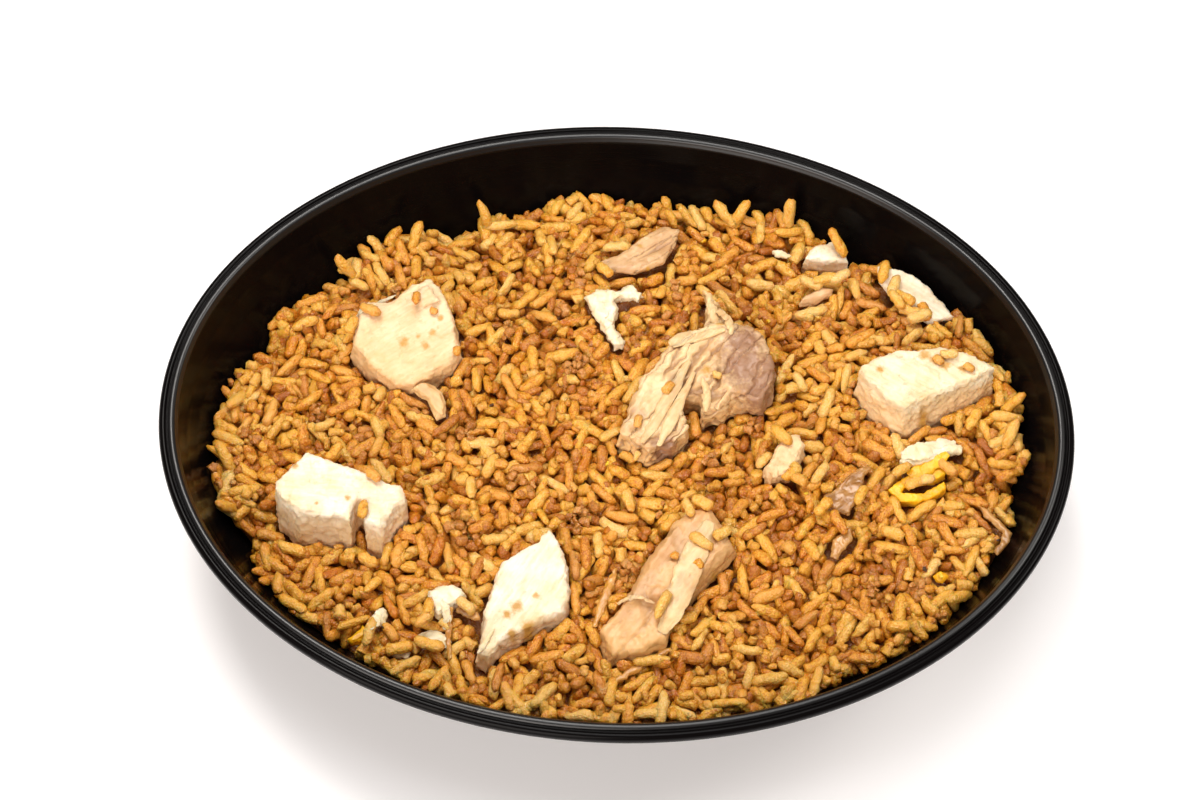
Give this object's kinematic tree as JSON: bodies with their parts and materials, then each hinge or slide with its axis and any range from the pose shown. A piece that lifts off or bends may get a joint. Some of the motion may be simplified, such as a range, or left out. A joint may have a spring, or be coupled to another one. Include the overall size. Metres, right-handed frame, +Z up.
{
  "type": "bowl of chicken fried rice",
  "caption": "Shallow oval black bowl filled to just below its rim with golden fried rice, topped with cut chicken, cooked egg and soft onion.",
  "frame": {"origin": "on the table, under the middle of the bowl", "axes": "+X along the bowl's long axis, +Z up out of the bowl; the serving's front, as eaten, faces -Y"},
  "size_m": [0.222, 0.1708, 0.045],
  "materials": {
    "bowl_black": "moulded black melamine, glossy",
    "rice_golden": "cooked rice stained by soy and egg, moist and slightly glossy",
    "chicken_white": "cooked white chicken meat, fibrous, moist",
    "chicken_brown": "cooked chicken stained by the sauce, smooth with darker skin",
    "egg_white": "set egg white, soft gloss",
    "egg_yolk": "fried egg yolk, crumbly, satin",
    "onion": "soft fried onion, thin, translucent and glossy"
  },
  "bodies": {
    "root": {"bowl": "bowl_black", "rice": "rice_golden", "chicken_chunk_back_left": "chicken_white", "chicken_chunk_front_left": "chicken_white", "chicken_chunk_right": "chicken_white", "chicken_slab_front": "chicken_white", "chicken_slab_middle": "chicken_brown", "chicken_strip_front": "chicken_brown", "chicken_slice_back": "chicken_brown", "chicken_bit_middle": "chicken_white", "chicken_bit_back_right": "chicken_white", "chicken_slice_right_edge": "chicken_white", "chicken_flake_back_left": "chicken_brown", "chicken_shred_back_right": "chicken_brown", "egg_white_back": "egg_white", "egg_white_right": "egg_white", "egg_yolk_right": "egg_yolk", "egg_white_left": "egg_white", "egg_yolk_left": "egg_yolk", "egg_white_front": "egg_white", "egg_white_front_low": "egg_white", "egg_crumb_front": "egg_white", "egg_crumb_right": "egg_yolk", "egg_crumb_back": "egg_white", "onion_shred_front": "onion", "onion_shred_middle": "onion", "onion_shred_front_right": "onion", "onion_strip_right_edge": "onion"}
  },
  "joints": []
}
